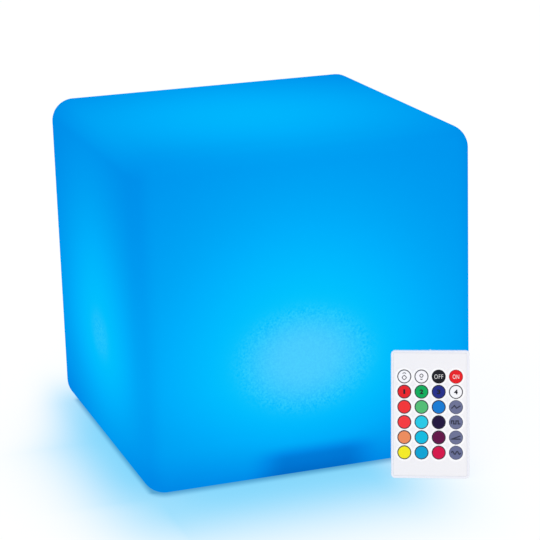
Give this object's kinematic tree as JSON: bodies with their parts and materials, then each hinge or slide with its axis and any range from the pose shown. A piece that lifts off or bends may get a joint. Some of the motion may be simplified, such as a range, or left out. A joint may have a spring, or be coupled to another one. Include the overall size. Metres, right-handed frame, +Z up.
{
  "type": "led cube light",
  "caption": "Glowing cube light: a hollow rounded moulded shell with a light unit screwed into its underside, and a thin card remote with round colour keys leaning on it.",
  "frame": {"origin": "centre of the cube's underside, on the floor it stands on", "axes": "+Z up; the front face looks along -Y, and the remote leans on it towards +X"},
  "size_m": [0.234, 0.2802, 0.2284],
  "materials": {
    "glowing_shell": "translucent moulded polyethylene, satin, lit from inside",
    "black_plastic": "fine moulded grain",
    "grey_foam": "closed-cell foam",
    "steel": "zinc-plated",
    "black_rubber": "matt",
    "milky_dome": "milky, satin",
    "white_board": "white solder resist",
    "lamp_package": "white packages with yellowish wells",
    "black_gloss": "moulded epoxy",
    "wire_insulation": "soft insulation",
    "green_board": "green solder resist",
    "aluminium_can": "drawn can",
    "cell_wrap": "shrink sleeve",
    "socket_metal": "moulded body with a plated pin",
    "clear_lens": "clear epoxy",
    "grey_button": "satin",
    "remote_case": "fine satin",
    "remote_face": "printed sheet, semi-gloss",
    "coin_steel": "satin steel",
    "key_brighter_cap": "semi-gloss, printed",
    "key_dimmer_cap": "semi-gloss, printed",
    "key_off_cap": "semi-gloss, printed",
    "key_on_cap": "semi-gloss, printed",
    "key_red_cap": "semi-gloss, printed",
    "key_green_cap": "semi-gloss, printed",
    "key_blue_cap": "semi-gloss, printed",
    "key_white_cap": "semi-gloss, printed",
    "key_scarlet_cap": "semi-gloss, printed",
    "key_light_green_cap": "semi-gloss, printed",
    "key_azure_cap": "semi-gloss, printed",
    "key_flash_cap": "semi-gloss, printed",
    "key_vermilion_cap": "semi-gloss, printed",
    "key_cyan_cap": "semi-gloss, printed",
    "key_indigo_cap": "semi-gloss, printed",
    "key_strobe_cap": "semi-gloss, printed",
    "key_orange_cap": "semi-gloss, printed",
    "key_sky_blue_cap": "semi-gloss, printed",
    "key_plum_cap": "semi-gloss, printed",
    "key_fade_cap": "semi-gloss, printed",
    "key_yellow_cap": "semi-gloss, printed",
    "key_teal_blue_cap": "semi-gloss, printed",
    "key_magenta_cap": "semi-gloss, printed",
    "key_smooth_cap": "semi-gloss, printed"
  },
  "bodies": {
    "cube": {"cube_shell": "glowing_shell", "base_plate": "black_plastic", "base_gasket": "grey_foam", "base_screws": "steel", "housing_seal": "black_rubber", "unit_housing": "black_plastic", "unit_screws": "steel", "diffuser_dome": "milky_dome", "led_board": "white_board", "leds": "lamp_package", "ir_receiver": "black_gloss", "led_harness": "wire_insulation", "control_board": "green_board", "controller_chip": "black_gloss", "driver_transistors": "black_gloss", "smoothing_capacitor": "aluminium_can", "battery_cell": "cell_wrap", "battery_clamp": "steel", "battery_leads": "wire_insulation", "tact_switch": "black_gloss", "charge_socket": "socket_metal", "charge_indicator": "clear_lens", "port_flap_anchor": "black_rubber"},
    "power_button": {"power_button": "grey_button"},
    "port_flap": {"port_flap": "black_rubber"},
    "remote": {"remote_back_shell": "remote_case", "remote_front_shell": "remote_case", "remote_faceplate": "remote_face", "remote_board": "green_board", "remote_snap_domes": "steel", "remote_chip": "black_gloss", "remote_ir_emitter": "clear_lens", "remote_battery_contacts": "steel"},
    "battery_tray": {"battery_tray": "remote_case", "coin_cell": "coin_steel"},
    "key_brighter": {"key_brighter": "key_brighter_cap"},
    "key_dimmer": {"key_dimmer": "key_dimmer_cap"},
    "key_off": {"key_off": "key_off_cap"},
    "key_on": {"key_on": "key_on_cap"},
    "key_red": {"key_red": "key_red_cap"},
    "key_green": {"key_green": "key_green_cap"},
    "key_blue": {"key_blue": "key_blue_cap"},
    "key_white": {"key_white": "key_white_cap"},
    "key_scarlet": {"key_scarlet": "key_scarlet_cap"},
    "key_light_green": {"key_light_green": "key_light_green_cap"},
    "key_azure": {"key_azure": "key_azure_cap"},
    "key_flash": {"key_flash": "key_flash_cap"},
    "key_vermilion": {"key_vermilion": "key_vermilion_cap"},
    "key_cyan": {"key_cyan": "key_cyan_cap"},
    "key_indigo": {"key_indigo": "key_indigo_cap"},
    "key_strobe": {"key_strobe": "key_strobe_cap"},
    "key_orange": {"key_orange": "key_orange_cap"},
    "key_sky_blue": {"key_sky_blue": "key_sky_blue_cap"},
    "key_plum": {"key_plum": "key_plum_cap"},
    "key_fade": {"key_fade": "key_fade_cap"},
    "key_yellow": {"key_yellow": "key_yellow_cap"},
    "key_teal_blue": {"key_teal_blue": "key_teal_blue_cap"},
    "key_magenta": {"key_magenta": "key_magenta_cap"},
    "key_smooth": {"key_smooth": "key_smooth_cap"}
  },
  "joints": [
    {"name": "power_button_press", "type": "slide", "parent": "cube", "child": "power_button", "axis": [0, 0, 1], "range_m": [0, 0.0008], "stiffness_N_per_m": 600, "springref_m": -0.0004},
    {"name": "port_flap_open", "type": "hinge", "parent": "cube", "child": "port_flap", "pos_m": [0.012, -0.027, 0.00838], "axis": [-1, 0, 0], "range_deg": [0, 100]},
    {"name": "remote_lift_away", "type": "slide", "parent": "cube", "child": "remote", "axis": [-0.4069, -0.8765, 0.2571], "range_m": [0, 0.15]},
    {"name": "battery_tray_slide", "type": "slide", "parent": "remote", "child": "battery_tray", "axis": [-0.1083, -0.2332, -0.9664], "range_m": [0, 0.0225]},
    {"name": "key_brighter_press", "type": "slide", "parent": "remote", "child": "key_brighter", "axis": [0.4069, 0.8765, -0.2571], "range_m": [0, 0.0003], "stiffness_N_per_m": 400, "springref_m": -0.0002},
    {"name": "key_dimmer_press", "type": "slide", "parent": "remote", "child": "key_dimmer", "axis": [0.4069, 0.8765, -0.2571], "range_m": [0, 0.0003], "stiffness_N_per_m": 400, "springref_m": -0.0002},
    {"name": "key_off_press", "type": "slide", "parent": "remote", "child": "key_off", "axis": [0.4069, 0.8765, -0.2571], "range_m": [0, 0.0003], "stiffness_N_per_m": 400, "springref_m": -0.0002},
    {"name": "key_on_press", "type": "slide", "parent": "remote", "child": "key_on", "axis": [0.4069, 0.8765, -0.2571], "range_m": [0, 0.0003], "stiffness_N_per_m": 400, "springref_m": -0.0002},
    {"name": "key_red_press", "type": "slide", "parent": "remote", "child": "key_red", "axis": [0.4069, 0.8765, -0.2571], "range_m": [0, 0.0003], "stiffness_N_per_m": 400, "springref_m": -0.0002},
    {"name": "key_green_press", "type": "slide", "parent": "remote", "child": "key_green", "axis": [0.4069, 0.8765, -0.2571], "range_m": [0, 0.0003], "stiffness_N_per_m": 400, "springref_m": -0.0002},
    {"name": "key_blue_press", "type": "slide", "parent": "remote", "child": "key_blue", "axis": [0.4069, 0.8765, -0.2571], "range_m": [0, 0.0003], "stiffness_N_per_m": 400, "springref_m": -0.0002},
    {"name": "key_white_press", "type": "slide", "parent": "remote", "child": "key_white", "axis": [0.4069, 0.8765, -0.2571], "range_m": [0, 0.0003], "stiffness_N_per_m": 400, "springref_m": -0.0002},
    {"name": "key_scarlet_press", "type": "slide", "parent": "remote", "child": "key_scarlet", "axis": [0.4069, 0.8765, -0.2571], "range_m": [0, 0.0003], "stiffness_N_per_m": 400, "springref_m": -0.0002},
    {"name": "key_light_green_press", "type": "slide", "parent": "remote", "child": "key_light_green", "axis": [0.4069, 0.8765, -0.2571], "range_m": [0, 0.0003], "stiffness_N_per_m": 400, "springref_m": -0.0002},
    {"name": "key_azure_press", "type": "slide", "parent": "remote", "child": "key_azure", "axis": [0.4069, 0.8765, -0.2571], "range_m": [0, 0.0003], "stiffness_N_per_m": 400, "springref_m": -0.0002},
    {"name": "key_flash_press", "type": "slide", "parent": "remote", "child": "key_flash", "axis": [0.4069, 0.8765, -0.2571], "range_m": [0, 0.0003], "stiffness_N_per_m": 400, "springref_m": -0.0002},
    {"name": "key_vermilion_press", "type": "slide", "parent": "remote", "child": "key_vermilion", "axis": [0.4069, 0.8765, -0.2571], "range_m": [0, 0.0003], "stiffness_N_per_m": 400, "springref_m": -0.0002},
    {"name": "key_cyan_press", "type": "slide", "parent": "remote", "child": "key_cyan", "axis": [0.4069, 0.8765, -0.2571], "range_m": [0, 0.0003], "stiffness_N_per_m": 400, "springref_m": -0.0002},
    {"name": "key_indigo_press", "type": "slide", "parent": "remote", "child": "key_indigo", "axis": [0.4069, 0.8765, -0.2571], "range_m": [0, 0.0003], "stiffness_N_per_m": 400, "springref_m": -0.0002},
    {"name": "key_strobe_press", "type": "slide", "parent": "remote", "child": "key_strobe", "axis": [0.4069, 0.8765, -0.2571], "range_m": [0, 0.0003], "stiffness_N_per_m": 400, "springref_m": -0.0002},
    {"name": "key_orange_press", "type": "slide", "parent": "remote", "child": "key_orange", "axis": [0.4069, 0.8765, -0.2571], "range_m": [0, 0.0003], "stiffness_N_per_m": 400, "springref_m": -0.0002},
    {"name": "key_sky_blue_press", "type": "slide", "parent": "remote", "child": "key_sky_blue", "axis": [0.4069, 0.8765, -0.2571], "range_m": [0, 0.0003], "stiffness_N_per_m": 400, "springref_m": -0.0002},
    {"name": "key_plum_press", "type": "slide", "parent": "remote", "child": "key_plum", "axis": [0.4069, 0.8765, -0.2571], "range_m": [0, 0.0003], "stiffness_N_per_m": 400, "springref_m": -0.0002},
    {"name": "key_fade_press", "type": "slide", "parent": "remote", "child": "key_fade", "axis": [0.4069, 0.8765, -0.2571], "range_m": [0, 0.0003], "stiffness_N_per_m": 400, "springref_m": -0.0002},
    {"name": "key_yellow_press", "type": "slide", "parent": "remote", "child": "key_yellow", "axis": [0.4069, 0.8765, -0.2571], "range_m": [0, 0.0003], "stiffness_N_per_m": 400, "springref_m": -0.0002},
    {"name": "key_teal_blue_press", "type": "slide", "parent": "remote", "child": "key_teal_blue", "axis": [0.4069, 0.8765, -0.2571], "range_m": [0, 0.0003], "stiffness_N_per_m": 400, "springref_m": -0.0002},
    {"name": "key_magenta_press", "type": "slide", "parent": "remote", "child": "key_magenta", "axis": [0.4069, 0.8765, -0.2571], "range_m": [0, 0.0003], "stiffness_N_per_m": 400, "springref_m": -0.0002},
    {"name": "key_smooth_press", "type": "slide", "parent": "remote", "child": "key_smooth", "axis": [0.4069, 0.8765, -0.2571], "range_m": [0, 0.0003], "stiffness_N_per_m": 400, "springref_m": -0.0002}
  ]
}
